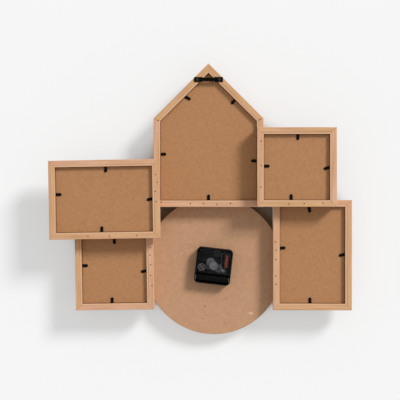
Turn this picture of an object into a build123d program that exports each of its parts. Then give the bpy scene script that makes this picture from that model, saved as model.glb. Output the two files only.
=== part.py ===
from build123d import *

import os
from collections import namedtuple
from math import cos, pi, radians, sin

# A wall clock made of five wooden picture frames and a round battery clock, nailed together in
# three layers. It hangs by a sawtooth plate on the gable of the house-shaped frame.
# Row frame: the fronts face -Y, the wall is at +Y, +Z is up, and the origin is the middle notch
# of the sawtooth plate, on the plane of the house frame's back. All lengths are millimetres.
# Left and right are as seen from behind, where the tabs, the hanger and the movement are worked.

os.makedirs("parts", exist_ok=True)

# Picture sizes and the frame section
print_long = 152.0
print_short = 102.0
rebate_clearance = 0.75
rail_width = 10.4
frame_depth = 22.0
recess_depth = 6.0
board_thickness = 3.0
print_thickness = 0.4
glass_thickness = 2.0
lip_reach = 5.0
band_width = 2.8
band_depth = 0.3
front_round = 1.2
back_ease = 0.4
mitre_gap = 0.06
overrun = 1.0
bond_gap = 0.02

# The house frame and where the others sit round it
wall_height = 140.5
roof_angle = 45.0
landscape_drop = 50.0
left_lean = 1.0
lower_set_off = 0.7
upper_square_rise = 0.6
portrait_set_out = 15.2

# The round clock, which fills the room between the frames that it is nailed to
clock_overlap_top = 15.6
clock_overlap_left = 14.2
clock_overlap_right = 15.6
clock_board = 9.0
rim_width = 8.0
rim_clearance = 0.3
dial_thickness = 0.5
markers = 12
marker_length = 11.0
marker_width = 3.0
marker_height = 0.8
marker_inset = 5.0

# Bendable tabs that hold the backing boards
tab_length = 9.0
tab_width = 4.8
tab_thickness = 0.6
tab_lift = 0.3
tab_shank = 2.5
tab_gap = 0.05
tab_notch = 0.45
tab_notch_share = 0.5

# Brads through the overlaps, and pins in the corners of the house
brad_radius = 0.6
brad_head_radius = 1.0
brad_head_thickness = 0.5
brad_sink = 0.5
brad_length = 26.0
pin_length = 14.0

# Sawtooth hanger
hanger_drop = 27.8
hanger_length = 45.8
hanger_height = 7.9
hanger_thickness = 0.8
hanger_top_step = 1.0
hanger_lap = 1.0
tooth_pitch = 4.2
tooth_depth = 1.8
notches = 5
hanger_nail_reach = 17.5
hanger_nail_length = 9.0
hanger_nail_head = 1.9
hanger_nail_head_thickness = 0.8

# Movement housing, as wide as its battery bay; levels run from the clock board's back to the wall
movement_lean = -6.5
case_depth = 16.0
case_corner = 6.7
case_round = 0.6
case_wall = 1.9
case_bottom_wall = 1.5
cavity_corner = 3.9
case_floor = 1.5
cover_thickness = 1.2
cover_clearance = 0.15
boss_radius = 1.4
boss_drop = 3.4
pivot_depth = 0.8
post_radius = 1.4
bush_radius = 4.0
board_hole_clearance = 0.3

# Battery, its bay and contacts
cell_radius = 7.1
cell_length = 49.2
cell_nub_radius = 2.75
cell_nub_length = 1.3
cell_edge = 0.8
bay_clearance = 0.3
bay_slack = 2.1
divider_wall = 0.8
contact_thickness = 0.5
contact_width = 6.6
contact_height = 10.0
contact_gap = 0.05
contact_slope = 30.0

# Gears
arbor_radius = 0.4
second_arbor_radius = 0.6
running_gap = 0.05
wheel_thickness = 0.8
second_module = 0.345
rotor_module = 0.4
third_reach = 7.85
motion_reach = 8.0
third_bearing = 133.5
rotor_bearing = -20.9
knob_bearing = 190.7
rotor_pinion_teeth = 6
middle_wheel_teeth = 36
middle_pinion_teeth = 8
second_wheel_teeth = 40
second_pinion_teeth = 8
third_wheel_teeth = 60
third_pinion_teeth = 8
centre_wheel_teeth = 64
minute_pinion_teeth = 12
motion_wheel_teeth = 36
motion_pinion_teeth = 10
hour_wheel_teeth = 40
knob_gear_teeth = 30
addendum_share = 0.8
dedendum_share = 1.15
tooth_root_share = 0.22
tooth_tip_share = 0.06

# Levels of the wheels above the clock board's back
hour_wheel_level = 2.0
motion_wheel_level = 3.2
centre_wheel_level = 4.6
third_wheel_level = 6.8
second_wheel_level = 8.6
middle_wheel_level = 10.0
pivot_level = 12.2

# Tubes and hands at the front
hour_tube_radius = 2.55
minute_tube_radius = 1.7
washer_radius = 8.0
washer_thickness = 0.8
nut_across_flats = 12.0
nut_thickness = 2.5
bush_stand_out = 0.6
hand_thickness = 0.6
hand_spacing = 1.6
hour_hand_length = 54.0
hour_hand_width = 7.0
minute_hand_length = 80.0
minute_hand_width = 5.5
second_hand_length = 86.0
second_hand_width = 1.2
hand_tail_share = 0.22
hand_tip_share = 0.35
shown_hour = 10
shown_minute = 9
shown_second = 36

# Setting knob, coil, stator, rotor and circuit
knob_radius = 6.3
knob_shaft_radius = 1.4
knob_pivot_radius = 0.8
knob_thickness = 2.6
knob_flutes = 16
knob_hollow_radius = 4.9
knob_hollow_depth = 0.9
knob_grip_width = 1.9
knob_grip_angle = -48.0
flute_radius = 0.7
well_clearance = 0.7
well_wall = 0.8
magnet_radius = 2.8
magnet_height = 3.0
stator_thickness = 0.8
stator_gap = 0.4
stator_bar = 3.0
pole_width = 2.0
coil_length = 22.0
coil_width = 8.8
coil_flange = 1.2
winding_radius = 4.0
coil_shares = (0.693, 0.33)
circuit_width = 12.0
circuit_height = 10.0
circuit_thickness = 1.0
circuit_shares = (0.15, 0.70)
crystal_radius = 1.0
crystal_length = 6.0
chip_radius = 2.6
chip_height = 1.2
standoff = 1.0

# Places of the cover posts, as shares of half the case
POST_SHARES = ((0.86, 0.85), (-0.86, 0.85), (0.87, -0.34), (-0.87, 0.31))

# Sides of a rectangle and of the house, counted from the bottom, turning left as seen from behind
BOTTOM, RIGHT, TOP, LEFT = range(4)
SILL, WALL_RIGHT, RAFTER_RIGHT, RAFTER_LEFT, WALL_LEFT = range(5)

# Tabs: node name, frame, side, place as a share of half the side, and lean in degrees
TAB_SHARES = (
    ("landscape_tab_top", "landscape", TOP, -0.04, 0),
    ("landscape_tab_left", "landscape", LEFT, -0.17, 0),
    ("landscape_tab_right", "landscape", RIGHT, -0.01, 8),
    ("landscape_tab_bottom", "landscape", BOTTOM, -0.06, 0),
    ("lower_square_tab_top", "lower_square", TOP, -0.01, 0),
    ("lower_square_tab_left", "lower_square", LEFT, -0.17, 0),
    ("lower_square_tab_right", "lower_square", RIGHT, -0.02, 8),
    ("lower_square_tab_bottom", "lower_square", BOTTOM, -0.09, 0),
    ("house_tab_sill", "house", SILL, 0.0, 0),
    ("house_tab_wall_left", "house", WALL_LEFT, -0.17, 0),
    ("house_tab_wall_right", "house", WALL_RIGHT, 0.0, 0),
    ("house_tab_rafter_left", "house", RAFTER_LEFT, -0.03, 16),
    ("house_tab_rafter_right", "house", RAFTER_RIGHT, -0.11, 0),
    ("upper_square_tab_top", "upper_square", TOP, -0.03, 0),
    ("upper_square_tab_left", "upper_square", LEFT, -0.03, 0),
    ("upper_square_tab_right", "upper_square", RIGHT, -0.01, 16),
    ("upper_square_tab_bottom", "upper_square", BOTTOM, -0.17, 0),
    ("portrait_tab_top", "portrait", TOP, 0.1, 8),
    ("portrait_tab_left", "portrait", LEFT, -0.14, 4),
    ("portrait_tab_right", "portrait", RIGHT, 0.01, 10),
    ("portrait_tab_bottom", "portrait", BOTTOM, -0.07, 0),
)

# Rows of brads: frame, side, what they bite into, then shares along the side and across the rail
BRAD_SHARES = (
    ("landscape", RIGHT, "house", ((0.61, 0.03), (0.41, -0.22), (0.18, 0.07), (-0.08, 0.0))),
    ("landscape", BOTTOM, "lower_square", ((-0.30, -0.07), (0.09, -0.10), (0.58, -0.06))),
    ("upper_square", LEFT, "house", ((-0.65, 0.06), (-0.04, 0.15), (0.50, 0.05))),
    ("upper_square", BOTTOM, "portrait", ((-0.20, -0.10), (0.18, 0.0), (0.65, 0.03))),
    ("lower_square", RIGHT, "clock",
     ((0.58, -0.12), (0.39, -0.04), (0.14, -0.12), (-0.13, -0.09), (-0.39, -0.26))),
    ("portrait", LEFT, "clock",
     ((-0.24, -0.16), (-0.09, -0.05), (0.08, -0.09), (0.38, -0.10), (0.53, -0.09))),
    ("house", SILL, "clock", ((-0.33, 0.02), (-0.09, 0.05), (0.15, -0.09), (0.40, 0.05))),
)
PIN_SHARES = (
    ("house", SILL, ((-0.86, 0.26),)),
    ("house", WALL_LEFT, ((-0.95, 0.13),)),
    ("house", WALL_RIGHT, ((0.97, 0.02),)),
)

Spot = namedtuple("Spot", "u v w lean outline")
Brad = namedtuple("Brad", "u v w length")


# Helpers

def back_plane(u, v, w, lean=0.0):
    """A plane seen from behind: x to the viewer's right, y up, z towards the wall."""
    turn = radians(lean)
    return Plane(origin=(-u, w, v), x_dir=(-cos(turn), 0, sin(turn)), z_dir=(0, 1, 0))


def rectangle_outline(width, height):
    """Corners of a rectangle about its centre, from the bottom left, turning left."""
    across = width / 2
    up = height / 2
    return [(-across, -up), (across, -up), (across, up), (-across, up)]


def house_outline(width, wall, rise):
    """Corners of a house about the middle of its bottom edge, from the bottom left."""
    across = width / 2
    return [(-across, 0), (across, 0), (across, wall), (0, wall + rise), (-across, wall)]


def inset(corners, distance):
    """The same outline with every side moved inwards by a distance."""
    moved = []
    for index, corner in enumerate(corners):
        here = Vector(*corner)
        arriving = (here - Vector(*corners[index - 1])).normalized()
        leaving = (Vector(*corners[(index + 1) % len(corners)]) - here).normalized()
        first = Vector(-arriving.Y, arriving.X)
        second = Vector(-leaving.Y, leaving.X)
        shift = (first + second) * (distance / (1 + first.dot(second)))
        moved.append((here.X + shift.X, here.Y + shift.Y))
    return moved


def on_side(corners, side, along_share, inwards):
    """A point beside one side of an outline, and the inward direction in degrees."""
    start = Vector(*corners[side])
    end = Vector(*corners[(side + 1) % len(corners)])
    along = end - start
    middle = (start + end) * 0.5
    inward = Vector(-along.Y, along.X).normalized()
    place = middle + along * (along_share / 2) + inward * inwards
    return place, inward


def to_back_view(spot, x, y):
    """A place in a frame's own outline, in the back view of the whole clock."""
    turn = radians(spot.lean)
    u = spot.u + x * cos(turn) - y * sin(turn)
    v = spot.v + x * sin(turn) + y * cos(turn)
    return u, v


def save(part, name):
    """Label one sub-part and write it."""
    part.label = name
    export_step(part, f"parts/{name}.step")


# Layout worked out from the driving sizes

opening_long = print_long + 2 * rebate_clearance
opening_short = print_short + 2 * rebate_clearance
frame_long = opening_long + 2 * rail_width
frame_short = opening_short + 2 * rail_width
rebate_depth = recess_depth + board_thickness + print_thickness + glass_thickness
roof_rise = frame_long / 2 * sin(radians(roof_angle)) / cos(radians(roof_angle))
house_foot = hanger_drop - wall_height - roof_rise

landscape_u = rail_width - frame_long
landscape_v = house_foot - landscape_drop + frame_short / 2
lower_right_edge = -frame_long / 2 - lower_set_off
lower_u = lower_right_edge - frame_short / 2
lower_v = landscape_v - frame_short + rail_width
upper_u = frame_long / 2 + frame_short / 2 - rail_width
upper_v = house_foot + upper_square_rise + frame_short / 2
portrait_left_edge = frame_long / 2 + portrait_set_out
portrait_u = portrait_left_edge + frame_short / 2
portrait_v = upper_v - frame_short / 2 + rail_width - frame_long / 2

clock_left_edge = lower_right_edge - clock_overlap_left
clock_right_edge = portrait_left_edge + clock_overlap_right
clock_radius = (clock_right_edge - clock_left_edge) / 2
clock_u = clock_left_edge + clock_radius
clock_v = house_foot + clock_overlap_top - clock_radius

landscape_outline = rectangle_outline(frame_long, frame_short)
portrait_outline = rectangle_outline(frame_short, frame_long)
square_outline = rectangle_outline(frame_short, frame_short)
gable_outline = house_outline(frame_long, wall_height, roof_rise)

FRAMES = {
    "house": Spot(0, house_foot, 0, 0, gable_outline),
    "landscape": Spot(landscape_u, landscape_v, frame_depth, left_lean, landscape_outline),
    "upper_square": Spot(upper_u, upper_v, frame_depth, 0, square_outline),
    "lower_square": Spot(lower_u, lower_v, 0, left_lean, square_outline),
    "portrait": Spot(portrait_u, portrait_v, 0, 0, portrait_outline),
}
clock_w = -frame_depth
hanger_bottom = -tooth_depth
hanger_top = hanger_bottom + hanger_height
hanger_middle = (hanger_bottom + hanger_top) / 2
toothed_half = notches * tooth_pitch / 2


def spot_plane(spot, level=0.0):
    """The back plane of a frame, or one below it towards the front."""
    return back_plane(spot.u, spot.v, spot.w - level, spot.lean)


def rail_place(name, side, along_share, across_share):
    """A place on the back of a rail, in the back view of the whole clock."""
    spot = FRAMES[name]
    inwards = rail_width * (0.5 + across_share)
    place, _ = on_side(spot.outline, side, along_share, inwards)
    return to_back_view(spot, place.X, place.Y)


def brads_of(piece):
    """Every brad and pin that passes through or bites into one wooden piece."""
    found = []
    for name, side, into, places in BRAD_SHARES:
        if piece in (name, into, "all"):
            for place in places:
                u, v = rail_place(name, side, *place)
                found.append(Brad(u, v, FRAMES[name].w, brad_length))
    for name, side, places in PIN_SHARES:
        if piece in (name, "all"):
            for place in places:
                u, v = rail_place(name, side, *place)
                found.append(Brad(u, v, FRAMES[name].w, pin_length))
    return found


def drill_for_brads(piece):
    """Sunk holes for the brads, cut in the piece that is being made."""
    for brad in brads_of(piece):
        mouth = back_plane(brad.u, brad.v, brad.w)
        with BuildSketch(mouth) as head:
            Circle(brad_head_radius + bond_gap)
        extrude(head.sketch, amount=-(brad_sink + brad_head_thickness), mode=Mode.SUBTRACT)
        with BuildSketch(mouth) as shank:
            Circle(brad_radius + bond_gap)
        extrude(shank.sketch, amount=-(brad_sink + brad.length + bond_gap), mode=Mode.SUBTRACT)


def drill_for_hanger_nails():
    """Pilot holes for the hanger's two nails, cut in the rafters."""
    for side in (-1, 1):
        with BuildSketch(back_plane(side * hanger_nail_reach, hanger_middle, 0)) as hole:
            Circle(brad_radius + bond_gap)
        extrude(hole.sketch, amount=-hanger_nail_length, mode=Mode.SUBTRACT)


# Wooden frames

def tab_root(name, side, along_share, lean):
    """A tab's hinge line: its place and the direction of its blade in a frame's outline."""
    spot = FRAMES[name]
    opening = inset(spot.outline, rail_width)
    set_out = tab_thickness / 2 + tab_gap + tab_width / 2 * abs(sin(radians(lean)))
    place, inward = on_side(opening, side, along_share, set_out)
    blade = inward.rotate(Axis.Z, lean)
    return place, blade


def tab_plane(name, side, along_share, lean):
    """A plane on a tab's middle thickness at its hinge line, its x along the blade."""
    spot = FRAMES[name]
    place, blade = tab_root(name, side, along_share, lean)
    u, v = to_back_view(spot, place.X, place.Y)
    turn = radians(spot.lean)
    across = blade.X * cos(turn) - blade.Y * sin(turn)
    up = blade.X * sin(turn) + blade.Y * cos(turn)
    level = spot.w - recess_depth + tab_lift + tab_thickness / 2
    return Plane(origin=(-u, level, v), x_dir=(-across, 0, up), z_dir=(0, 1, 0))


def cut_tab_slots(frame_name):
    """The slits in the rebate walls that the tabs were driven into."""
    for _, name, side, along_share, lean in TAB_SHARES:
        if name == frame_name:
            plane = tab_plane(name, side, along_share, lean)
            with BuildSketch(plane.offset(-tab_thickness / 2)) as slot:
                with Locations((-shank_length(lean) / 2 - tab_thickness / 2 - tab_gap, 0)):
                    Rectangle(shank_length(lean), tab_width)
            extrude(slot.sketch, amount=tab_thickness, mode=Mode.SUBTRACT)


def shank_length(lean):
    """A shank reaches from its hinge line into the wood, further where the tab leans."""
    return tab_shank + tab_width / 2 * abs(sin(radians(lean)))


def make_frame(name):
    """Mitred rails with a shallow back band, the rebate and the front lip."""
    spot = FRAMES[name]
    steps = (
        (rail_width - band_width, 0, band_depth),
        (rail_width, band_depth, rebate_depth),
        (rail_width + lip_reach, rebate_depth, frame_depth),
    )
    with BuildPart() as frame:
        for reach, start, end in steps:
            with BuildSketch(spot_plane(spot, start)):
                Polygon(*spot.outline, align=None)
                Polygon(*inset(spot.outline, reach), align=None, mode=Mode.SUBTRACT)
            extrude(amount=start - end)
        chamfer(frame.faces().sort_by(Axis.Y)[-1].outer_wire().edges(), back_ease)
        fillet(frame.faces().sort_by(Axis.Y)[0].edges(), front_round)
        for corner, inner in zip(spot.outline, inset(spot.outline, rail_width + lip_reach)):
            cut_mitre(spot, Vector(*corner), Vector(*inner))
        drill_for_brads(name)
        cut_tab_slots(name)
        if name == "house":
            drill_for_hanger_nails()
    save(frame.part, f"{name}_frame")


def cut_mitre(spot, corner, inner):
    """The glue line of one mitred corner."""
    run = (inner - corner).normalized()
    start = corner - run * overrun
    end = inner + run * overrun
    side = Vector(-run.Y, run.X) * (mitre_gap / 2)
    points = (start + side, start - side, end - side, end + side)
    with BuildSketch(spot_plane(spot, -overrun)) as cut:
        Polygon(*[(point.X, point.Y) for point in points], align=None)
    extrude(cut.sketch, amount=-(frame_depth + 2 * overrun), mode=Mode.SUBTRACT)


def make_backing_board(name):
    """The hardboard that closes one frame from behind."""
    spot = FRAMES[name]
    with BuildPart() as board:
        with BuildSketch(spot_plane(spot, recess_depth)):
            Polygon(*inset(spot.outline, rail_width + rebate_clearance), align=None)
        extrude(amount=-board_thickness)
    save(board.part, f"{name}_backing_board")


def make_sheets(node, level, thickness):
    """One sheet in every frame, such as the glass panes, as separate solids of one node."""
    with BuildPart() as sheets:
        for spot in FRAMES.values():
            with BuildSketch(spot_plane(spot, level)):
                Polygon(*inset(spot.outline, rail_width + rebate_clearance), align=None)
            extrude(amount=-thickness)
    save(sheets.part, node)


# Tabs

def make_tab(node, name, side, along_share, lean):
    """One bendable blade: a round root on its bending line, a notched waist and a round tip."""
    plane = tab_plane(name, side, along_share, lean)
    straight = tab_length - tab_width / 2
    with BuildPart() as tab:
        with BuildSketch(plane.offset(-tab_thickness / 2)):
            with Locations((straight / 2, 0)):
                Rectangle(straight, tab_width)
            with Locations((straight, 0)):
                Circle(tab_width / 2)
            with Locations(*[(straight * tab_notch_share, side * tab_width / 2) for side in (-1, 1)]):
                Circle(tab_notch, mode=Mode.SUBTRACT)
        extrude(amount=tab_thickness)
        root = Plane(origin=plane.origin, x_dir=plane.x_dir, z_dir=plane.y_dir)
        with BuildSketch(root.offset(-tab_width / 2)):
            Circle(tab_thickness / 2)
        extrude(amount=tab_width)
    save(tab.part, node)


def make_tab_shanks():
    """The driven ends of all the tabs, which stay in the wood."""
    with BuildPart() as shanks:
        for _, name, side, along_share, lean in TAB_SHARES:
            plane = tab_plane(name, side, along_share, lean)
            length = shank_length(lean)
            with BuildSketch(plane.offset(-tab_thickness / 2)):
                with Locations((-length / 2 - tab_thickness / 2 - tab_gap, 0)):
                    Rectangle(length, tab_width)
            extrude(amount=tab_thickness)
    save(shanks.part, "tab_shanks")


# Fasteners and hanger

def make_brads():
    """Headed brads sunk below the backs of the rails."""
    with BuildPart() as brads:
        for brad in brads_of("all"):
            head = back_plane(brad.u, brad.v, brad.w - brad_sink)
            with BuildSketch(head):
                Circle(brad_head_radius)
            extrude(amount=-brad_head_thickness)
            with BuildSketch(head):
                Circle(brad_radius)
            extrude(amount=-brad.length)
    save(brads.part, "frame_brads")


def make_hanger():
    """A steel plate with flat nailed ends and a raised, toothed middle."""
    teeth = []
    for index in range(notches):
        middle = (index - (notches - 1) / 2) * tooth_pitch
        teeth.append((middle - tooth_pitch / 2, hanger_bottom))
        teeth.append((middle, 0))
    teeth.append((toothed_half, hanger_bottom))
    top = hanger_top - hanger_top_step
    end_length = hanger_length / 2 - toothed_half + hanger_lap
    with BuildPart() as hanger:
        with BuildSketch(back_plane(0, 0, 0)):
            for side in (-1, 1):
                with Locations((side * (hanger_length - end_length) / 2, hanger_middle)):
                    Rectangle(end_length, hanger_height)
                with Locations((side * hanger_nail_reach, hanger_middle)):
                    Circle(brad_radius + running_gap, mode=Mode.SUBTRACT)
        extrude(amount=hanger_thickness)
        with BuildSketch(back_plane(0, 0, hanger_thickness)):
            Polygon(*teeth, (toothed_half, top), (-toothed_half, top), align=None)
        extrude(amount=hanger_thickness)
    save(hanger.part, "sawtooth_hanger")


def make_hanger_nails():
    """Two nails through the ends of the hanger into the rafters."""
    with BuildPart() as nails:
        for side in (-1, 1):
            with BuildSketch(back_plane(side * hanger_nail_reach, hanger_middle, hanger_thickness)):
                Circle(hanger_nail_head)
            extrude(amount=hanger_nail_head_thickness)
            with BuildSketch(back_plane(side * hanger_nail_reach, hanger_middle, hanger_thickness)):
                Circle(brad_radius)
            extrude(amount=-hanger_nail_length)
    save(nails.part, "hanger_nails")


# Clock board, rim and dial

def clock_plane(level, lean=0.0):
    """A plane on the clock's axis, a level above or below the clock board's back."""
    return back_plane(clock_u, clock_v, clock_w + level, lean)


def make_clock_board():
    """The round board that the frames and the movement are fixed to."""
    with BuildPart() as board:
        with BuildSketch(clock_plane(0)):
            Circle(clock_radius)
            Circle(bush_radius + board_hole_clearance, mode=Mode.SUBTRACT)
        extrude(amount=-clock_board)
        chamfer(board.faces().sort_by(Axis.Y)[-1].outer_wire().edges(), back_ease)
        drill_for_brads("clock")
    save(board.part, "clock_board")


def make_clock_rim():
    """The raised wooden ring round the dial."""
    height = frame_depth - clock_board
    with BuildPart() as rim:
        with BuildSketch(clock_plane(-clock_board)):
            Circle(clock_radius)
            Circle(clock_radius - rim_width, mode=Mode.SUBTRACT)
        extrude(amount=-height)
        fillet(rim.faces().sort_by(Axis.Y)[0].edges(), front_round)
    save(rim.part, "clock_rim")


def make_dial():
    """The dial sheet with its twelve raised hour batons."""
    radius = clock_radius - rim_width - rim_clearance
    reach = radius - marker_inset - marker_length / 2
    with BuildPart() as dial:
        with BuildSketch(clock_plane(-clock_board)):
            Circle(radius)
            Circle(bush_radius + board_hole_clearance, mode=Mode.SUBTRACT)
        extrude(amount=-dial_thickness)
        with BuildSketch(clock_plane(-clock_board - dial_thickness)):
            with PolarLocations(reach, markers):
                Rectangle(marker_length, marker_width)
        extrude(amount=-marker_height)
    save(dial.part, "dial")


# Gear geometry

def gear_points(teeth, module, start):
    """Corners of a simple toothed wheel whose first tooth points at an angle in degrees."""
    pitch = 2 * pi / teeth
    pitch_radius = module * teeth / 2
    root = pitch_radius - dedendum_share * module
    tip = pitch_radius + addendum_share * module
    flanks = (
        (-tooth_root_share, root),
        (-tooth_tip_share, tip),
        (tooth_tip_share, tip),
        (tooth_root_share, root),
    )
    points = []
    for tooth in range(teeth):
        for share, radius in flanks:
            angle = radians(start) + (tooth + share) * pitch
            points.append((radius * cos(angle), radius * sin(angle)))
    return points


def half_pitch(teeth):
    """Half the angle between two teeth, in degrees."""
    return 180 / teeth


def polar(radius, angle):
    """A place at a radius and an angle in degrees."""
    return radius * cos(radians(angle)), radius * sin(radians(angle))


second_reach = second_module * (second_wheel_teeth + middle_pinion_teeth) / 2
rotor_reach = second_reach + rotor_module * (rotor_pinion_teeth + middle_wheel_teeth) / 2
third_wheel_module = 2 * third_reach / (third_wheel_teeth + second_pinion_teeth)
centre_wheel_module = 2 * third_reach / (centre_wheel_teeth + third_pinion_teeth)
motion_module = 2 * motion_reach / (minute_pinion_teeth + motion_wheel_teeth)
hour_module = 2 * motion_reach / (hour_wheel_teeth + motion_pinion_teeth)
knob_reach = motion_reach + motion_module * (motion_wheel_teeth + knob_gear_teeth) / 2

middle_place = polar(second_reach, rotor_bearing)
rotor_place = polar(rotor_reach, rotor_bearing)
third_place = polar(third_reach, third_bearing)
motion_place = polar(motion_reach, knob_bearing)
knob_place = polar(knob_reach, knob_bearing)


def inside_plane(place, level):
    """A plane in the movement at a place of its own and a level above the clock board."""
    x, y = place
    turn = radians(movement_lean)
    u = clock_u + x * cos(turn) - y * sin(turn)
    v = clock_v + x * sin(turn) + y * cos(turn)
    return back_plane(u, v, clock_w + level, movement_lean)


def toothed_disc(place, level, teeth, module, start):
    """Add one toothed disc to the part that is being made."""
    with BuildSketch(inside_plane(place, level)) as disc:
        Polygon(*gear_points(teeth, module, start), align=None)
    extrude(disc.sketch, amount=wheel_thickness)


def round_bar(place, low, high, radius, mode=Mode.ADD):
    """Add or cut one round bar between two levels."""
    with BuildSketch(inside_plane(place, low)) as end:
        Circle(radius)
    extrude(end.sketch, amount=high - low, mode=mode)


# Movement housing

HERE = (0, 0)
bay_length = cell_length + cell_nub_length + bay_slack + 2 * contact_thickness
inner_half = bay_length / 2
half_case = inner_half + case_wall
case_size = 2 * half_case
bay_floor = case_bottom_wall - half_case
bay_height = 2 * cell_radius + 2 * bay_clearance
divider_low = bay_floor + bay_height
divider_high = divider_low + divider_wall
cover_low = case_depth - cover_thickness
pivot_floor = case_floor - pivot_depth
pivot_mouth = cover_low - boss_drop
bush_bore = hour_tube_radius + running_gap
bush_end = -(clock_board + dial_thickness + washer_thickness + nut_thickness + bush_stand_out)
stator_level = (third_wheel_level + centre_wheel_level + wheel_thickness) / 2
coil_place = (coil_shares[0] * half_case, coil_shares[1] * half_case)
circuit_place = (circuit_shares[0] * half_case, circuit_shares[1] * half_case)
stator_right = coil_place[0] + stator_bar / 2
pole_half = magnet_radius + stator_gap + pole_width
stator_left = rotor_place[0] - pole_half
stator_bottom = rotor_place[1] - pole_half + stator_gap
stator_top = coil_place[1] + coil_length / 2 + pole_width
window_left = stator_left + pole_width
window_right = stator_right - stator_bar
window_bottom = coil_place[1] - coil_length / 2 - stator_gap
window_top = coil_place[1] + coil_length / 2 + stator_gap
stator_posts = ((stator_left + pole_width / 2, window_top), (stator_left + pole_width / 2, window_bottom))


def between(low_x, high_x, low_y, high_y):
    """A rectangle between two corners, in the sketch that is being made."""
    with Locations(((low_x + high_x) / 2, (low_y + high_y) / 2)):
        Rectangle(high_x - low_x, high_y - low_y)


def make_movement_case():
    """The black housing: floor, walls, battery divider, posts and the threaded bush."""
    with BuildPart() as case:
        with BuildSketch(inside_plane(HERE, 0)):
            RectangleRounded(case_size, case_size, case_corner)
        extrude(amount=case_depth)
        fillet(case.faces().sort_by(Axis.Y)[-1].edges(), case_round)
        with BuildSketch(inside_plane(HERE, case_floor)):
            with Locations((0, (bay_floor + inner_half) / 2)):
                RectangleRounded(2 * inner_half, inner_half - bay_floor, cavity_corner)
        extrude(amount=case_depth, mode=Mode.SUBTRACT)
        with BuildSketch(inside_plane(HERE, case_floor)):
            between(-inner_half, inner_half, divider_low, divider_high)
        extrude(amount=case_depth - case_floor)
        for x_share, y_share in POST_SHARES:
            place = (x_share * half_case, y_share * half_case)
            round_bar(place, case_floor, cover_low, post_radius)
        for place in stator_posts:
            round_bar(place, case_floor, stator_level, pole_width / 2)
        for side in (-1, 1):
            place = (circuit_place[0] + side * circuit_width / 3, circuit_place[1])
            round_bar(place, case_floor, case_floor + standoff, standoff)
        round_bar(motion_place, case_floor, motion_wheel_level + wheel_thickness + running_gap,
                  second_arbor_radius)
        round_bar(HERE, bush_end, 0, bush_radius)
        round_bar(HERE, bush_end, case_floor, bush_bore, Mode.SUBTRACT)
        for place in (third_place, middle_place, rotor_place):
            round_bar(place, pivot_floor, case_floor, arbor_radius + running_gap, Mode.SUBTRACT)
        round_bar(knob_place, pivot_floor, case_floor, knob_pivot_radius + running_gap, Mode.SUBTRACT)
    save(case.part, "movement_case")


def make_movement_cover():
    """The smoked clear back: a plate with bearing bosses and a well for the knob."""
    well_radius = knob_radius + well_clearance
    low = divider_high + cover_clearance
    high = inner_half - cover_clearance
    with BuildPart() as cover:
        with BuildSketch(inside_plane(HERE, cover_low)):
            between(cover_clearance - inner_half, inner_half - cover_clearance, low, high)
        extrude(amount=cover_thickness)
        top_corners = cover.edges().filter_by(Axis.Y).sort_by(Axis.Z)[-2:]
        fillet(top_corners, cavity_corner)
        for place in (third_place, middle_place, rotor_place):
            round_bar(place, pivot_mouth, cover_low, boss_radius)
            round_bar(place, pivot_mouth, pivot_mouth + pivot_depth + running_gap,
                      arbor_radius + running_gap, Mode.SUBTRACT)
        round_bar(HERE, pivot_mouth, cover_low, boss_radius)
        round_bar(HERE, pivot_mouth, pivot_mouth + pivot_depth + running_gap,
                  second_arbor_radius + running_gap, Mode.SUBTRACT)
        well_floor = case_depth - knob_thickness - 2 * well_wall
        round_bar(knob_place, well_floor, case_depth, well_radius + well_wall)
        round_bar(knob_place, well_floor + well_wall, case_depth, well_radius, Mode.SUBTRACT)
        round_bar(knob_place, well_floor, case_depth, knob_shaft_radius + running_gap, Mode.SUBTRACT)
    save(cover.part, "movement_cover")


def make_nut_and_washer():
    """The washer and the hexagon nut that hold the movement to the clock board."""
    washer_level = -clock_board - dial_thickness
    with BuildPart() as fixings:
        with BuildSketch(clock_plane(washer_level)):
            Circle(washer_radius)
            Circle(bush_radius + running_gap, mode=Mode.SUBTRACT)
        extrude(amount=-washer_thickness)
        with BuildSketch(clock_plane(washer_level - washer_thickness - bond_gap)):
            RegularPolygon(nut_across_flats / 2, 6, major_radius=False)
            Circle(bush_radius + running_gap, mode=Mode.SUBTRACT)
        extrude(amount=-nut_thickness)
    save(fixings.part, "nut_and_washer")


# Battery and electrics

bay_middle = bay_floor + bay_height / 2
cell_level = case_floor + bay_clearance + cell_radius
cell_high_end = inner_half - contact_thickness - contact_gap - cell_nub_length
cell_low_end = cell_high_end - cell_length


def bay_section(x):
    """A plane across the battery bay at a place along it."""
    base = inside_plane((x, bay_middle), cell_level)
    return Plane(origin=base.origin, x_dir=base.y_dir, z_dir=base.x_dir)


def make_battery():
    """A single dry cell with its raised positive end to the right."""
    with BuildPart() as cell:
        with BuildSketch(bay_section(cell_low_end)):
            Circle(cell_radius)
        extrude(amount=cell_length)
        fillet(cell.edges().filter_by(GeomType.CIRCLE), cell_edge)
        with BuildSketch(bay_section(cell_high_end)):
            Circle(cell_nub_radius)
        extrude(amount=cell_nub_length)
    save(cell.part, "battery")


def make_contacts():
    """Two plated strips at the ends of the bay; the negative one is dished to press."""
    dish = cell_low_end - contact_gap + inner_half - contact_thickness
    with BuildPart() as contacts:
        for start in (-inner_half, inner_half - contact_thickness):
            with BuildSketch(bay_section(start)):
                Rectangle(contact_width, contact_height)
            extrude(amount=contact_thickness)
        with BuildSketch(bay_section(contact_thickness - inner_half)):
            Circle(contact_width / 2)
        extrude(amount=dish, taper=contact_slope)
    save(contacts.part, "battery_contacts")


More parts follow.
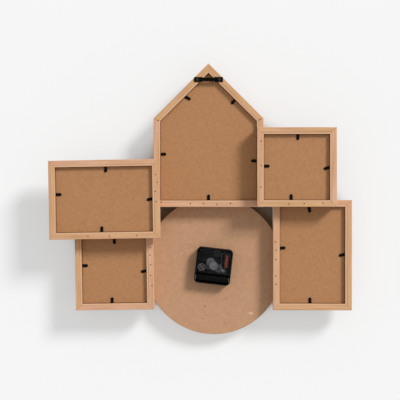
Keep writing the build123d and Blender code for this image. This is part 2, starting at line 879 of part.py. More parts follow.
def make_coil():
    """The copper winding on its flanged bobbin, slotted for the stator's bar."""
    low = coil_place[1] - coil_length / 2
    middle = stator_level + stator_thickness / 2

    def across(y):
        base = inside_plane((coil_place[0], y), middle)
        return Plane(origin=base.origin, x_dir=base.x_dir, z_dir=base.y_dir)

    with BuildPart() as coil:
        for start in (low, low + coil_length - coil_flange):
            with BuildSketch(across(start)):
                Rectangle(coil_width, coil_width)
            extrude(amount=coil_flange)
        with BuildSketch(across(low)):
            Circle(winding_radius)
        extrude(amount=coil_length)
        with BuildSketch(across(low)):
            Rectangle(stator_bar + 2 * running_gap, stator_thickness + 2 * running_gap)
        extrude(amount=coil_length, mode=Mode.SUBTRACT)
    save(coil.part, "drive_coil")


def make_stator():
    """The soft-iron plate that leads the coil's field round the rotor."""
    with BuildPart() as stator:
        with BuildSketch(inside_plane(HERE, stator_level)):
            between(stator_left, stator_right, stator_bottom, stator_top)
            with Locations(((window_left + window_right) / 2, (window_bottom + window_top) / 2)):
                Rectangle(window_right - window_left, window_top - window_bottom, mode=Mode.SUBTRACT)
            with Locations(rotor_place):
                Circle(magnet_radius + stator_gap, mode=Mode.SUBTRACT)
        extrude(amount=stator_thickness)
    save(stator.part, "stator")


def make_circuit():
    """The circuit board with the potted chip and the crystal's can."""
    level = case_floor + standoff
    top = level + circuit_thickness
    x, y = circuit_place
    with BuildPart() as circuit:
        with BuildSketch(inside_plane(circuit_place, level)):
            Rectangle(circuit_width, circuit_height)
        extrude(amount=circuit_thickness)
        round_bar((x - circuit_width / 4, y), top, top + chip_height, chip_radius)
        base = inside_plane((x + circuit_width / 4, y - crystal_length / 2), top + crystal_radius / 2)
        with BuildSketch(Plane(origin=base.origin, x_dir=base.x_dir, z_dir=base.y_dir)):
            Circle(crystal_radius)
        extrude(amount=crystal_length)
    save(circuit.part, "circuit_board")


# Train of wheels

def make_rotor():
    """The magnet rotor with its pinion."""
    towards_middle = rotor_bearing + 180
    magnet_low = stator_level + stator_thickness / 2 - magnet_height / 2
    with BuildPart() as rotor:
        round_bar(rotor_place, magnet_low, magnet_low + magnet_height, magnet_radius)
        toothed_disc(rotor_place, middle_wheel_level, rotor_pinion_teeth, rotor_module,
                     towards_middle + half_pitch(rotor_pinion_teeth))
        round_bar(rotor_place, pivot_floor, pivot_level, arbor_radius)
    save(rotor.part, "rotor")


def make_middle_wheel():
    """The wheel between the rotor and the second wheel."""
    towards_second = rotor_bearing + 180
    with BuildPart() as wheel:
        toothed_disc(middle_place, middle_wheel_level, middle_wheel_teeth, rotor_module,
                     rotor_bearing)
        toothed_disc(middle_place, second_wheel_level, middle_pinion_teeth, second_module,
                     towards_second + half_pitch(middle_pinion_teeth))
        round_bar(middle_place, second_wheel_level + wheel_thickness, middle_wheel_level,
                  second_module * middle_pinion_teeth / 2)
        round_bar(middle_place, pivot_floor, pivot_level, arbor_radius)
    save(wheel.part, "middle_wheel")


def make_second_wheel():
    """The second wheel, its pinion and the long arbor that carries the second hand."""
    with BuildPart() as wheel:
        toothed_disc(HERE, second_wheel_level, second_wheel_teeth, second_module, rotor_bearing)
        toothed_disc(HERE, third_wheel_level, second_pinion_teeth, third_wheel_module,
                     third_bearing + half_pitch(second_pinion_teeth))
        round_bar(HERE, second_hand_level, pivot_level, second_arbor_radius)
    save(wheel.part, "second_wheel")


def make_third_wheel():
    """The third wheel, between the second pinion and the centre wheel."""
    towards_centre = third_bearing + 180
    with BuildPart() as wheel:
        toothed_disc(third_place, third_wheel_level, third_wheel_teeth, third_wheel_module,
                     towards_centre)
        toothed_disc(third_place, centre_wheel_level, third_pinion_teeth, centre_wheel_module,
                     towards_centre + half_pitch(third_pinion_teeth))
        round_bar(third_place, pivot_floor, pivot_level, arbor_radius)
    save(wheel.part, "third_wheel")


def make_centre_wheel():
    """The centre wheel, which drives the minute pinion by friction."""
    with BuildPart() as wheel:
        toothed_disc(HERE, centre_wheel_level, centre_wheel_teeth, centre_wheel_module, third_bearing)
        round_bar(HERE, centre_wheel_level, centre_wheel_level + wheel_thickness,
                  minute_tube_radius + running_gap, Mode.SUBTRACT)
    save(wheel.part, "centre_wheel")


def make_minute_pinion():
    """The pinion and tube that carry the minute hand."""
    with BuildPart() as pinion:
        toothed_disc(HERE, motion_wheel_level, minute_pinion_teeth, motion_module,
                     knob_bearing + half_pitch(minute_pinion_teeth))
        round_bar(HERE, minute_hand_level - hand_thickness, centre_wheel_level + 2 * wheel_thickness,
                  minute_tube_radius)
        round_bar(HERE, minute_hand_level - hand_thickness, centre_wheel_level + 2 * wheel_thickness,
                  second_arbor_radius + running_gap, Mode.SUBTRACT)
    save(pinion.part, "minute_pinion")


def make_motion_wheel():
    """The wheel that turns the hour wheel twelve times slower than the minute hand."""
    top = motion_wheel_level + wheel_thickness
    with BuildPart() as wheel:
        toothed_disc(motion_place, motion_wheel_level, motion_wheel_teeth, motion_module,
                     knob_bearing)
        toothed_disc(motion_place, hour_wheel_level, motion_pinion_teeth, hour_module,
                     knob_bearing + 180 + half_pitch(motion_pinion_teeth))
        round_bar(motion_place, hour_wheel_level, motion_wheel_level, 2 * second_arbor_radius)
        round_bar(motion_place, hour_wheel_level, top, second_arbor_radius + running_gap, Mode.SUBTRACT)
    save(wheel.part, "motion_wheel")


def make_hour_wheel():
    """The hour wheel with its tube through the bush."""
    top = hour_wheel_level + wheel_thickness
    with BuildPart() as wheel:
        toothed_disc(HERE, hour_wheel_level, hour_wheel_teeth, hour_module, knob_bearing)
        round_bar(HERE, hour_hand_level - hand_thickness, top, hour_tube_radius)
        round_bar(HERE, hour_hand_level - hand_thickness, top, minute_tube_radius + running_gap,
                  Mode.SUBTRACT)
    save(wheel.part, "hour_wheel")


def make_set_knob():
    """The fluted knob in the cover's well, with the gear that sets the hands."""
    knob_low = case_depth - knob_thickness
    with BuildPart() as knob:
        toothed_disc(knob_place, motion_wheel_level, knob_gear_teeth, motion_module,
                     knob_bearing + 180 + half_pitch(knob_gear_teeth))
        round_bar(knob_place, pivot_floor, motion_wheel_level, knob_pivot_radius)
        round_bar(knob_place, motion_wheel_level, knob_low, knob_shaft_radius)
        with BuildSketch(inside_plane(knob_place, knob_low)):
            Circle(knob_radius)
            with PolarLocations(knob_radius, knob_flutes):
                Circle(flute_radius, mode=Mode.SUBTRACT)
        extrude(amount=knob_thickness)
        with BuildSketch(inside_plane(knob_place, case_depth)):
            Circle(knob_hollow_radius)
            Rectangle(2 * knob_radius, knob_grip_width, rotation=knob_grip_angle, mode=Mode.SUBTRACT)
        extrude(amount=-knob_hollow_depth, mode=Mode.SUBTRACT)
    save(knob.part, "set_knob")


# Hands

hour_hand_level = bush_end - hand_spacing / 2
minute_hand_level = hour_hand_level - hand_spacing
second_hand_level = minute_hand_level - hand_spacing
minute_turn = 6 * (shown_minute + shown_second / 60)
hour_turn = 30 * (shown_hour + shown_minute / 60)
second_turn = 6 * shown_second


def make_hand(node, level, turn, length, width, tube_radius):
    """A flat hand with a tail, tapered to its tip, on a round hub."""
    tail = hand_tail_share * length
    tip = hand_tip_share * width / 2
    outline = ((-width / 2, -tail), (width / 2, -tail), (tip, length), (-tip, length))
    with BuildPart() as hand:
        with BuildSketch(clock_plane(level, turn)):
            Polygon(*outline, align=None)
            Circle(width / 2 + tube_radius)
            if node != "second_hand":
                Circle(tube_radius + bond_gap, mode=Mode.SUBTRACT)
        extrude(amount=-hand_thickness)
    save(hand.part, node)


# Build everything

for frame_name in FRAMES:
    make_frame(frame_name)
    make_backing_board(frame_name)
make_sheets("prints", recess_depth + board_thickness, print_thickness)
make_sheets("glass_panes", recess_depth + board_thickness + print_thickness, glass_thickness)
for tab_row in TAB_SHARES:
    make_tab(*tab_row)
make_tab_shanks()
make_brads()
make_hanger()
make_hanger_nails()
make_clock_board()
make_clock_rim()
make_dial()
make_movement_case()
make_movement_cover()
make_nut_and_washer()
make_battery()
make_contacts()
make_coil()
make_stator()
make_circuit()
make_rotor()
make_middle_wheel()
make_second_wheel()
make_third_wheel()
make_centre_wheel()
make_minute_pinion()
make_motion_wheel()
make_hour_wheel()
make_set_knob()
make_hand("hour_hand", hour_hand_level, hour_turn, hour_hand_length, hour_hand_width,
          hour_tube_radius)
make_hand("minute_hand", minute_hand_level, minute_turn, minute_hand_length, minute_hand_width,
          minute_tube_radius)
make_hand("second_hand", second_hand_level, second_turn, second_hand_length, second_hand_width,
          second_arbor_radius)
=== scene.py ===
# %% [markdown]
# # The back of a wall clock made of picture frames
# Five wooden frames and one round battery clock are nailed together in three layers. The
# photograph shows them from behind, face down on a white board, so most of the work here is
# plain wood, hardboard, black steel tabs and a small plastic movement. The front, which the
# photograph hides, is finished as well: glass, pictures with white borders, a dial and its hands.
# Lengths are in metres. The clock faces -Y and the wall is at +Y.

# %% Load the solid model
from math import pi, radians, sqrt

import bmesh
import bpy
from mathutils import Matrix, Vector


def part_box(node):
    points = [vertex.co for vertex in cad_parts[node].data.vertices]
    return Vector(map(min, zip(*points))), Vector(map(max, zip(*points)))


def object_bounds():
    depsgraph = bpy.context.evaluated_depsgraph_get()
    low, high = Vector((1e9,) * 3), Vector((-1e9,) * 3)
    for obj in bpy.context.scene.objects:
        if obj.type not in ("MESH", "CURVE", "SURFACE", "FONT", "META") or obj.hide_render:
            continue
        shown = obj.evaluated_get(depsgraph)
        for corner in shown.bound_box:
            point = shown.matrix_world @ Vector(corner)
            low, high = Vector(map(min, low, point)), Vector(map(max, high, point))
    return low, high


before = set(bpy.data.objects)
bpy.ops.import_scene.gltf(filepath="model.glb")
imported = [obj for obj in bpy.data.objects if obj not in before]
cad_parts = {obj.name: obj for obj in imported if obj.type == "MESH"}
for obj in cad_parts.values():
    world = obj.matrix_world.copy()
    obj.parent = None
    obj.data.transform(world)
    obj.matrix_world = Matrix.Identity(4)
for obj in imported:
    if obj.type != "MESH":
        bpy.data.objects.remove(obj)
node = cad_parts
solid_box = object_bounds()
spans = [round(span, 3) for span in solid_box[1] - solid_box[0]]
print("the solid model has", len(node), "pieces and spans", spans)

# %% [markdown]
# ## The sizes that the finishes follow
# Grain has to run along each rail and stop at the mitres. So the finishes need to know where
# every frame lies: its centre, the level of its back, how far it leans, and its outer size. The
# house is measured from the middle of its sill.

# %% Where the frames lie
MM = 0.001
RAIL = 10.4 * MM
LAYER = 22.0 * MM
LEAN = radians(1.0)
LONG = 174.3 * MM
SHORT = 124.3 * MM
WALL = 140.5 * MM
RIDGE = WALL + LONG / 2
FOOT = -199.85 * MM
LAYOUT = {
    "landscape": (163.9 * MM, -187.7 * MM, LAYER, LEAN, LONG, SHORT),
    "upper_square": (-138.9 * MM, -137.1 * MM, LAYER, 0.0, SHORT, SHORT),
    "lower_square": (150.0 * MM, -301.6 * MM, 0.0, LEAN, SHORT, SHORT),
    "portrait": (-164.5 * MM, -276.0 * MM, 0.0, 0.0, SHORT, LONG),
    "house": (0.0, FOOT, 0.0, 0.0, LONG, WALL),
}
for name, (*_, back, _, width, height) in LAYOUT.items():
    print(f"{name}: {width / MM:.0f} x {height / MM:.0f} mm,",
          f"its back {back / MM:.0f} mm from the hanger")

# %% [markdown]
# ## Small tools for materials
# Colours are written as the hex values that a painter would pick from the photograph, and one
# function turns them to the linear values that the renderer wants. Another adds one node with
# its settings and links. The next ones start a material, lead a node into its shader, and put it
# on solid pieces in place of the plain one that they came with.

# %% Colours and nodes
def linear(code):
    """An sRGB hex colour as a linear one."""
    parts = [int(code[i:i + 2], 16) / 255 for i in (1, 3, 5)]
    return (*[c / 12.92 if c <= 0.04045 else ((c + 0.055) / 1.055) ** 2.4 for c in parts], 1.0)


def add(tree, kind, inputs, **settings):
    """Add one node with its settings. Its inputs are plain values, other nodes or their outputs."""
    made = tree.nodes.new("ShaderNode" + kind)
    for key, value in settings.items():
        setattr(made, key, value)
    for key, value in inputs.items():
        if isinstance(value, bpy.types.Node):
            value = next(output for output in value.outputs if output.enabled)
        if isinstance(value, bpy.types.NodeSocket):
            tree.links.new(value, made.inputs[key])
        else:
            made.inputs[key].default_value = value
    return made


print("a mid brown is", [round(c, 3) for c in linear("#AC7B55")[:3]])

# %% Starting, wiring and wearing a material
def start_material(name, **plain):
    """A new material with plain numbers on its shader, its tree and the place of each point."""
    made = bpy.data.materials.new(name)
    made.use_nodes = True
    tree = made.node_tree
    shader = tree.nodes["Principled BSDF"]
    for key, value in plain.items():
        shader.inputs[key.replace("_", " ")].default_value = value
    return made, tree, shader, add(tree, "TexCoord", {}).outputs["Object"]


def connect(tree, source, target, socket):
    """Lead a node into a shader or another node that is already there."""
    output = next(output for output in source.outputs if output.enabled)
    tree.links.new(output, target.inputs[socket])


def dress(names, made):
    """Give solid pieces a material."""
    for name in names:
        node[name].data.materials.clear()
        node[name].data.materials.append(made)
    print(made.name, "on", len(names), "pieces")


# %% [markdown]
# Nothing here has one flat colour. A second tone lies over the first in streaks or patches,
# wherever a noise passes from one level to another. Noise stays near 0.5 and seldom leaves 0.25
# to 0.75, so levels close to the middle give broad patches and levels far from it a few flecks.

# %% A tone over another
PATCHES = (0.35, 0.65)


def lay_over(tree, tone, noise, start, end, share, colour):
    """Let a colour cover a tone where a noise passes from start to end, up to a share."""
    amount = add(tree, "MapRange", {0: noise, 1: start, 2: end, 3: 0.0, 4: share})
    return add(tree, "Mix", {0: amount, 6: tone, 7: linear(colour)}, data_type="RGBA")


def two_tones(tree, place, first, second, size_mm):
    """A colour that wanders between two others over one size, and the noise that it follows."""
    wander = add(tree, "TexNoise", {"Vector": place, "Scale": 1 / (size_mm * MM), "Detail": 3.0})
    return lay_over(tree, linear(first), wander, *PATCHES, 1.0, second), wander


print("patches turn from one tone to the other between", PATCHES)


# %% [markdown]
# ## Sanded beech for the rails
# The rails are pale beech, cut in mitres at the corners and sanded, with a lighter band along
# the inner edge. Seen from a step away, beech is fine streaks along the rail, and no two rails
# have quite the same tone, because each was cut from another strip. An image would need one
# layout for each frame. A noise pattern that is stretched along the rail needs none, and the
# mitre falls exactly where two rails meet, because a point belongs to the rail whose outer side
# is nearest.

# %% How far a point lies from a frame's outer sides
def outer_sides(tree, place, name):
    """A frame's own place and axes, and how far a point is from its sides, ends and roof."""
    x, z, back, lean, width, height = LAYOUT[name]
    own = add(tree, "Mapping", {"Vector": place, "Location": (x, 0, z), "Rotation": (0, lean, 0)},
              vector_type="TEXTURE")
    axis = add(tree, "SeparateXYZ", {0: own})
    across = add(tree, "Math", {0: axis.outputs["X"]}, operation="ABSOLUTE")
    from_side = add(tree, "Math", {0: width / 2, 1: across}, operation="SUBTRACT")
    if name != "house":
        up = add(tree, "Math", {0: axis.outputs["Z"]}, operation="ABSOLUTE")
        from_end = add(tree, "Math", {0: height / 2, 1: up}, operation="SUBTRACT")
        return own, axis, across, from_side, from_end, 1.0
    rise = add(tree, "Math", {0: across, 1: axis.outputs["Z"]}, operation="ADD")
    below = add(tree, "Math", {0: RIDGE, 1: rise}, operation="SUBTRACT")
    from_roof = add(tree, "Math", {0: below, 1: sqrt(0.5)}, operation="MULTIPLY")
    return own, axis, across, from_side, axis.outputs["Z"], from_roof


print("the ridge is", round(RIDGE / MM, 1), "mm over the sill")

# %% [markdown]
# Every rail needs a number of its own, so that it can have streaks and a tone of its own. The
# level rails of a frame are 0 and 1, its upright ones 2 and 3, and the rafters of the house are
# 4 and 5. Where the depth from two outer sides is the same, two rails meet in a mitre.

# %% Which rail a point lies on
FIRST_UPRIGHT = 2.0
FIRST_RAFTER = 4.0


def find_rails(tree, place, name):
    """The way along the grain, the rail's number, the depth from its outer side, the distance
    from the next mitre, and the frame's axes."""
    own, axis, across, from_side, from_end, from_roof = outer_sides(tree, place, name)
    upright = add(tree, "Math", {0: from_side, 1: from_end}, operation="LESS_THAN")
    standing = add(tree, "CombineXYZ",
                   {0: axis.outputs["Z"], 1: axis.outputs["Y"], 2: axis.outputs["X"]})
    grain = add(tree, "Mix", {0: upright, 4: own, 5: standing}, data_type="VECTOR")
    which = add(tree, "Mix", {0: upright, 2: axis.outputs["Z"], 3: axis.outputs["X"]},
                data_type="FLOAT")
    which = add(tree, "Math", {0: which, 1: 0.0}, operation="GREATER_THAN")
    rail = add(tree, "Math", {0: upright, 1: FIRST_UPRIGHT, 2: which}, operation="MULTIPLY_ADD")
    near = add(tree, "Math", {0: from_side, 1: from_end}, operation="MINIMUM")
    far = add(tree, "Math", {0: from_side, 1: from_end}, operation="MAXIMUM")
    if name == "house":
        run = add(tree, "Math", {0: across, 1: axis.outputs["Z"]}, operation="SUBTRACT")
        rise = add(tree, "Math", {0: across, 1: axis.outputs["Z"]}, operation="ADD")
        rafter = add(tree, "CombineXYZ", {0: run, 1: axis.outputs["Y"], 2: rise})
        sloping = add(tree, "Math", {0: from_roof, 1: near}, operation="LESS_THAN")
        grain = add(tree, "Mix", {0: sloping, 4: grain, 5: rafter}, data_type="VECTOR")
        which = add(tree, "Math", {0: axis.outputs["X"], 1: 0.0}, operation="GREATER_THAN")
        which = add(tree, "Math", {0: which, 1: FIRST_RAFTER}, operation="ADD")
        rail = add(tree, "Mix", {0: sloping, 2: rail, 3: which}, data_type="FLOAT")
        middle = add(tree, "Math", {0: near, 1: from_roof}, operation="MAXIMUM")
        near = add(tree, "Math", {0: near, 1: from_roof}, operation="MINIMUM")
        far = add(tree, "Math", {0: middle, 1: far}, operation="MINIMUM")
    mitre = add(tree, "Math", {0: far, 1: near}, operation="SUBTRACT")
    return grain, rail, near, mitre, axis


print("a plain frame has 4 rails and the house has 5")

# %% [markdown]
# Beech has three things for the eye: broad streaks of lighter and darker wood, thin dark pores,
# and a tone that wanders between yellow and pink. The streaks are really under a millimetre
# wide. They are drawn 3 mm wide here, because finer ones melt away at the photograph's distance.

# %% Streaks, pores and tone
STREAK = 3.0 * MM
PORE = 0.4 * MM
DRIFT = 25.0 * MM
STREAK_STRETCH = (0.05, 1, 1)
DRIFT_STRETCH = (0.3, 1, 1)
WANDER = 0.3
BEECH_YELLOW = "#CFA174"
BEECH_PINK = "#D6A687"
BEECH_DARK = "#B98C65"
BEECH_LIGHT = "#E2BA98"
BEECH_PORE_AND_SHADE = "#936B4C"


def beech(tree, grain, seed, own_tone):
    """The colour of sanded beech, and its pores for the relief."""
    along = add(tree, "Mapping", {"Vector": grain, "Scale": STREAK_STRETCH})
    far_along = add(tree, "Mapping", {"Vector": grain, "Scale": DRIFT_STRETCH})
    streaks = add(tree, "TexNoise",
                  {"Vector": along, "W": seed, "Scale": 1 / STREAK, "Detail": 3.0},
                  noise_dimensions="4D")
    pores = add(tree, "TexNoise", {"Vector": along, "W": seed, "Scale": 1 / PORE, "Detail": 2.0},
                noise_dimensions="4D")
    drift = add(tree, "TexNoise",
                {"Vector": far_along, "W": seed, "Scale": 1 / DRIFT, "Detail": 1.0},
                noise_dimensions="4D")
    wander = add(tree, "MapRange",
                 {0: drift, 1: PATCHES[0], 2: PATCHES[1], 3: -WANDER, 4: WANDER})
    warmth = add(tree, "Math", {0: wander, 1: own_tone}, operation="ADD", use_clamp=True)
    tone = add(tree, "Mix", {0: warmth, 6: linear(BEECH_YELLOW), 7: linear(BEECH_PINK)},
               data_type="RGBA")
    tone = lay_over(tree, tone, streaks, 0.5, 0.72, 0.8, BEECH_DARK)
    tone = lay_over(tree, tone, streaks, 0.46, 0.28, 0.7, BEECH_LIGHT)
    return lay_over(tree, tone, pores, 0.55, 0.75, 0.35, BEECH_PORE_AND_SHADE), pores


streak_length = STREAK / STREAK_STRETCH[0]
print("streaks", STREAK / MM, "mm wide are drawn", round(streak_length / MM), "mm long")

# %% [markdown]
# Two marks tell how a frame was made. A lighter band runs along the inner edge of the back,
# with a fine line where it starts, and a dark line shows where two mitres meet. The walls of the
# recess behind the board are painted darker than the sanded faces, as painted shade in the recess.

# %% The band, the joints and the painted shade on the recess walls
RECESS = 6.0 * MM
SKIN = 1.0 * MM
BAND_START = RAIL - 2.8 * MM
BAND_SOFTNESS = 0.2 * MM
BAND_LINE = 0.45 * MM
JOINT_LINE = 0.3 * MM
WALL_SKIN = 0.1 * MM
BAND_SHARE = 0.5
BAND_LINE_SHARE = 0.3
JOINT_SHARE = 0.55
RECESS_SHADE_SHARE = 0.6
BAND_LIGHT = "#E0B692"


def joiners_marks_and_recess_shade(tree, tone, name, depth, mitre, axis):
    """The wood's colour with the band, the lines and the painted shade on the recess walls over it.
    """
    back = LAYOUT[name][2]
    at_back = add(tree, "Math", {0: axis.outputs["Y"], 1: back - SKIN}, operation="GREATER_THAN")
    band = add(tree, "MapRange", {0: depth, 1: BAND_START - BAND_SOFTNESS,
                                  2: BAND_START + BAND_SOFTNESS, 3: 0.0, 4: BAND_SHARE})
    band = add(tree, "Math", {0: band, 1: at_back}, operation="MULTIPLY")
    tone = add(tree, "Mix", {0: band, 6: tone, 7: linear(BAND_LIGHT)}, data_type="RGBA")
    step = add(tree, "Math", {0: depth, 1: BAND_START, 2: BAND_LINE}, operation="COMPARE")
    step = add(tree, "Math", {0: step, 1: at_back}, operation="MULTIPLY")
    step = add(tree, "Math", {0: step, 1: BAND_LINE_SHARE}, operation="MULTIPLY")
    joint = add(tree, "Math", {0: mitre, 1: JOINT_LINE}, operation="LESS_THAN")
    joint = add(tree, "Math", {0: joint, 1: JOINT_SHARE}, operation="MULTIPLY")
    line = add(tree, "Math", {0: step, 1: joint}, operation="MAXIMUM")
    tone = add(tree, "Mix", {0: line, 6: tone, 7: linear(BEECH_PORE_AND_SHADE)}, data_type="RGBA")
    # The recess walls get a darker colour: painted shade for the shadow in the recess.
    sunk = add(tree, "Math", {0: axis.outputs["Y"], 1: back - RECESS}, operation="GREATER_THAN")
    wall = add(tree, "Math", {0: depth, 1: RAIL - WALL_SKIN}, operation="GREATER_THAN")
    wall = add(tree, "Math", {0: wall, 1: sunk}, operation="MULTIPLY")
    wall = add(tree, "Math", {0: wall, 1: RECESS_SHADE_SHARE}, operation="MULTIPLY")
    return add(tree, "Mix", {0: wall, 6: tone, 7: linear(BEECH_PORE_AND_SHADE)}, data_type="RGBA")


print("the band starts", round(BAND_START / MM, 1), "mm in from the outer side")

# %% Beech for the five frames
# Sanded beech, rubbed with a little wax: it is matt, with a faint sheen along the grain. A seed
# of its own for each rail gives each one other streaks and a tone of its own.
FIRST_SEED = 0.4
SEED_STEP = 7.3
PORE_RELIEF = {"Strength": 0.25, "Distance": 0.05 * MM}

for number, name in enumerate(LAYOUT):
    made, tree, shader, place = start_material(f"beech_sanded_{name}", Roughness=0.55, IOR=1.5,
                                               Specular_IOR_Level=0.2)
    grain, rail, depth, mitre, axis = find_rails(tree, place, name)
    seed = add(tree, "Math", {0: rail, 1: SEED_STEP * number + FIRST_SEED}, operation="ADD")
    own_tone = add(tree, "TexWhiteNoise", {"W": seed}, noise_dimensions="1D")
    tone, pores = beech(tree, grain, seed, own_tone.outputs["Value"])
    tone = joiners_marks_and_recess_shade(tree, tone, name, depth, mitre, axis)
    connect(tree, tone, shader, "Base Color")
    connect(tree, add(tree, "Bump", {**PORE_RELIEF, "Height": pores}), shader, "Normal")
    dress([f"{name}_frame"], made)

# %% Beech for the round rim
# The same wood, turned on a lathe, so its grain runs straight across the whole ring.
RIM_SEED = 9.0
RIM_TONE = 0.5

made, tree, shader, place = start_material("beech_turned", Roughness=0.5, IOR=1.5,
                                           Specular_IOR_Level=0.2)
tone, pores = beech(tree, place, RIM_SEED, RIM_TONE)
connect(tree, tone, shader, "Base Color")
connect(tree, add(tree, "Bump", {**PORE_RELIEF, "Height": pores}), shader, "Normal")
dress(["clock_rim"], made)

# %% [markdown]
# ## Hardboard and fibreboard
# The boards that close the frames are thin pressed hardboard: brown, matt, with fibres that show
# as fine mottling and a few flecks. The round board of the clock is sanded fibreboard, paler,
# with the scuffs that a back gets on a bench. Both are noise at three sizes. The scuffs are
# placed where the photograph has them.

# %% Fibres, mottles and flecks
MOTTLE = 6.0 * MM
FIBRE = 0.8 * MM
FLECK = 2.2 * MM


def fibres(tree, place, light, middle, dark, pale):
    """The colour of pressed fibres, with dark and pale flecks, and the fibres for the relief."""
    mottle = add(tree, "TexNoise",
                 {"Vector": place, "Scale": 1 / MOTTLE, "Detail": 5.0, "Roughness": 0.6})
    fine = add(tree, "TexNoise", {"Vector": place, "Scale": 1 / FIBRE, "Detail": 3.0})
    fleck = add(tree, "TexNoise", {"Vector": place, "Scale": 1 / FLECK, "Detail": 1.0})
    tone = lay_over(tree, linear(light), mottle, *PATCHES, 1.0, middle)
    tone = lay_over(tree, tone, fine, 0.45, 0.8, 0.4, dark)
    tone = lay_over(tree, tone, fleck, 0.65, 0.73, 0.65, dark)
    return lay_over(tree, tone, fleck, 0.3, 0.22, 0.5, pale), fine


# %% Pressed hardboard
# Wood fibre pressed hot between plates: quite smooth, matt, and darker than the wood it came from.
made, tree, shader, place = start_material("hardboard_pressed", Roughness=0.72)
tone, fine = fibres(tree, place, "#B17F53", "#A9784D", "#8A5C37", "#C9996B")
connect(tree, tone, shader, "Base Color")
relief = add(tree, "Bump", {"Strength": 0.3, "Distance": 0.15 * MM, "Height": fine})
connect(tree, relief, shader, "Normal")
dress([f"{name}_backing_board" for name in LAYOUT], made)

# %% The scuffs on the round board
# Each is given by its place from the hanger, its half length and half height in millimetres, its
# turn in degrees and its colour. Noise makes its outline ragged.
SCUFFS = (
    (-68.0, -370.5, 5.0, 1.5, -15.0, "#F0E0D0"),
    (30.0, -256.2, 2.5, 2.0, 0.0, "#CBA88D"),
    (43.5, -274.5, 5.0, 1.2, 20.0, "#CDA98C"),
    (35.1, -270.5, 3.0, 1.5, 0.0, "#CBA88D"),
    (5.8, -359.5, 2.6, 2.4, 0.0, "#85603F"),
    (-26.9, -346.5, 2.6, 1.8, 0.0, "#8F6648"),
    (9.4, -379.0, 2.6, 1.8, 0.0, "#8F6648"),
    (-26.9, -387.0, 3.2, 1.8, 0.0, "#A2613F"),
    (77.1, -363.5, 2.0, 2.0, 0.0, "#7F5B3F"),
)
RAGGED = 2.5 * MM
RAGGED_SHARE = 1.2
SCUFF_SHARE = 0.6
SCUFF_INNER, SCUFF_OUTER = 1.0, 1.5


def scuff(tree, tone, place, ragged, x, z, length, height, turn, colour):
    """Lay one scuff over a tone."""
    own = add(tree, "Mapping",
              {"Vector": place, "Location": (x * MM, 0, z * MM), "Rotation": (0, radians(turn), 0),
               "Scale": (length * MM, 1.0, height * MM)}, vector_type="TEXTURE")
    away = add(tree, "VectorMath", {0: own}, operation="LENGTH")
    away = add(tree, "Math", {0: ragged, 1: RAGGED_SHARE, 2: away.outputs["Value"]},
               operation="MULTIPLY_ADD")
    amount = add(tree, "MapRange",
                 {0: away, 1: SCUFF_INNER, 2: SCUFF_OUTER, 3: SCUFF_SHARE, 4: 0.0})
    return add(tree, "Mix", {0: amount, 6: tone, 7: linear(colour)}, data_type="RGBA")


print("the round board has", len(SCUFFS), "scuffs")

# %% Sanded fibreboard
# Sanded before the clock was put together, so it is paler and a little dusty.
made, tree, shader, place = start_material("fibreboard_sanded", Roughness=0.68)
tone, fine = fibres(tree, place, "#BE9371", "#B68A67", "#A37855", "#CDA686")
ragged = add(tree, "TexNoise",
             {"Vector": place, "Scale": 1 / RAGGED, "Detail": 4.0, "Roughness": 0.7})
for row in SCUFFS:
    tone = scuff(tree, tone, place, ragged, *row)
connect(tree, tone, shader, "Base Color")
relief = add(tree, "Bump", {"Strength": 0.25, "Distance": 0.12 * MM, "Height": fine})
connect(tree, relief, shader, "Normal")
dress(["clock_board"], made)

# %% [markdown]
# ## Small steel
# The tabs that turn over the boards are stamped from thin steel and japanned, so they are nearly
# black. The hanger is the same steel with an oil-black finish that shines a little more. The brads
# are plain drawn wire, and time has turned them reddish brown. All of these, and most of the
# movement's parts, are made the same way: two near tones, and a roughness that wanders with them
# where the finish is worn.

# %% A finish in two tones
WEAR = (0.3, 0.7)


def two_tone_finish(name, pieces, first, second, size_mm, worn=None, **plain):
    """Dress pieces in two wandering tones. Two roughnesses in worn wander with them."""
    made, tree, shader, place = start_material(name, **plain)
    tone, wander = two_tones(tree, place, first, second, size_mm)
    connect(tree, tone, shader, "Base Color")
    if worn:
        rough = add(tree, "MapRange",
                    {0: wander, 1: WEAR[0], 2: WEAR[1], 3: worn[0], 4: worn[1]})
        connect(tree, rough, shader, "Roughness")
    dress(pieces, made)


print("wear goes from its least to its most between", WEAR)

# %% The tabs, the hanger and the nails
# Japanned tabs and their shanks: baked black lacquer over steel, black enough to hide the bends,
# with a dull shine.
tabs = [name for name in node if "_tab_" in name]
two_tone_finish("steel_japanned", [*tabs, "tab_shanks"], "#040303", "#0C0909", 1.4, (0.45, 0.65),
                Specular_IOR_Level=0.06)

# The hanger was heated and dipped in oil: black with a brown breath, smoother than lacquer.
two_tone_finish("steel_oil_black", ["sawtooth_hanger"], "#020202", "#090706", 2.0, (0.35, 0.5),
                Specular_IOR_Level=0.05)

# Its bright wire nails are dulled by handling: grey metal that catches the lamp on a domed head.
two_tone_finish("steel_bright", ["hanger_nails"], "#332E2C", "#4A4340", 0.5, (0.25, 0.4),
                Metallic=1.0)

# The brads are uncoated wire with a skin of old rust: reddish brown and nearly matt.
two_tone_finish("steel_drawn_rusty", ["frame_brads"], "#3E2417", "#55351F", 0.5, (0.5, 0.7),
                Metallic=0.3)

# %% [markdown]
# ## The movement
# The housing is moulded black plastic with a fine spark-eroded grain. Its cover is smoked clear
# styrene, so the grey wheels and the copper winding show through it, darkened. See-through
# plastic could be traced as real glass, but then no lamp lights what lies under it. A low alpha
# on a dark, glossy shader lets the light in and out, and costs nothing.

# %% The black housing
# Moulded ABS: an even black, a satin skin from the mould's grain, and dust in patches.
GRIT = 0.25 * MM

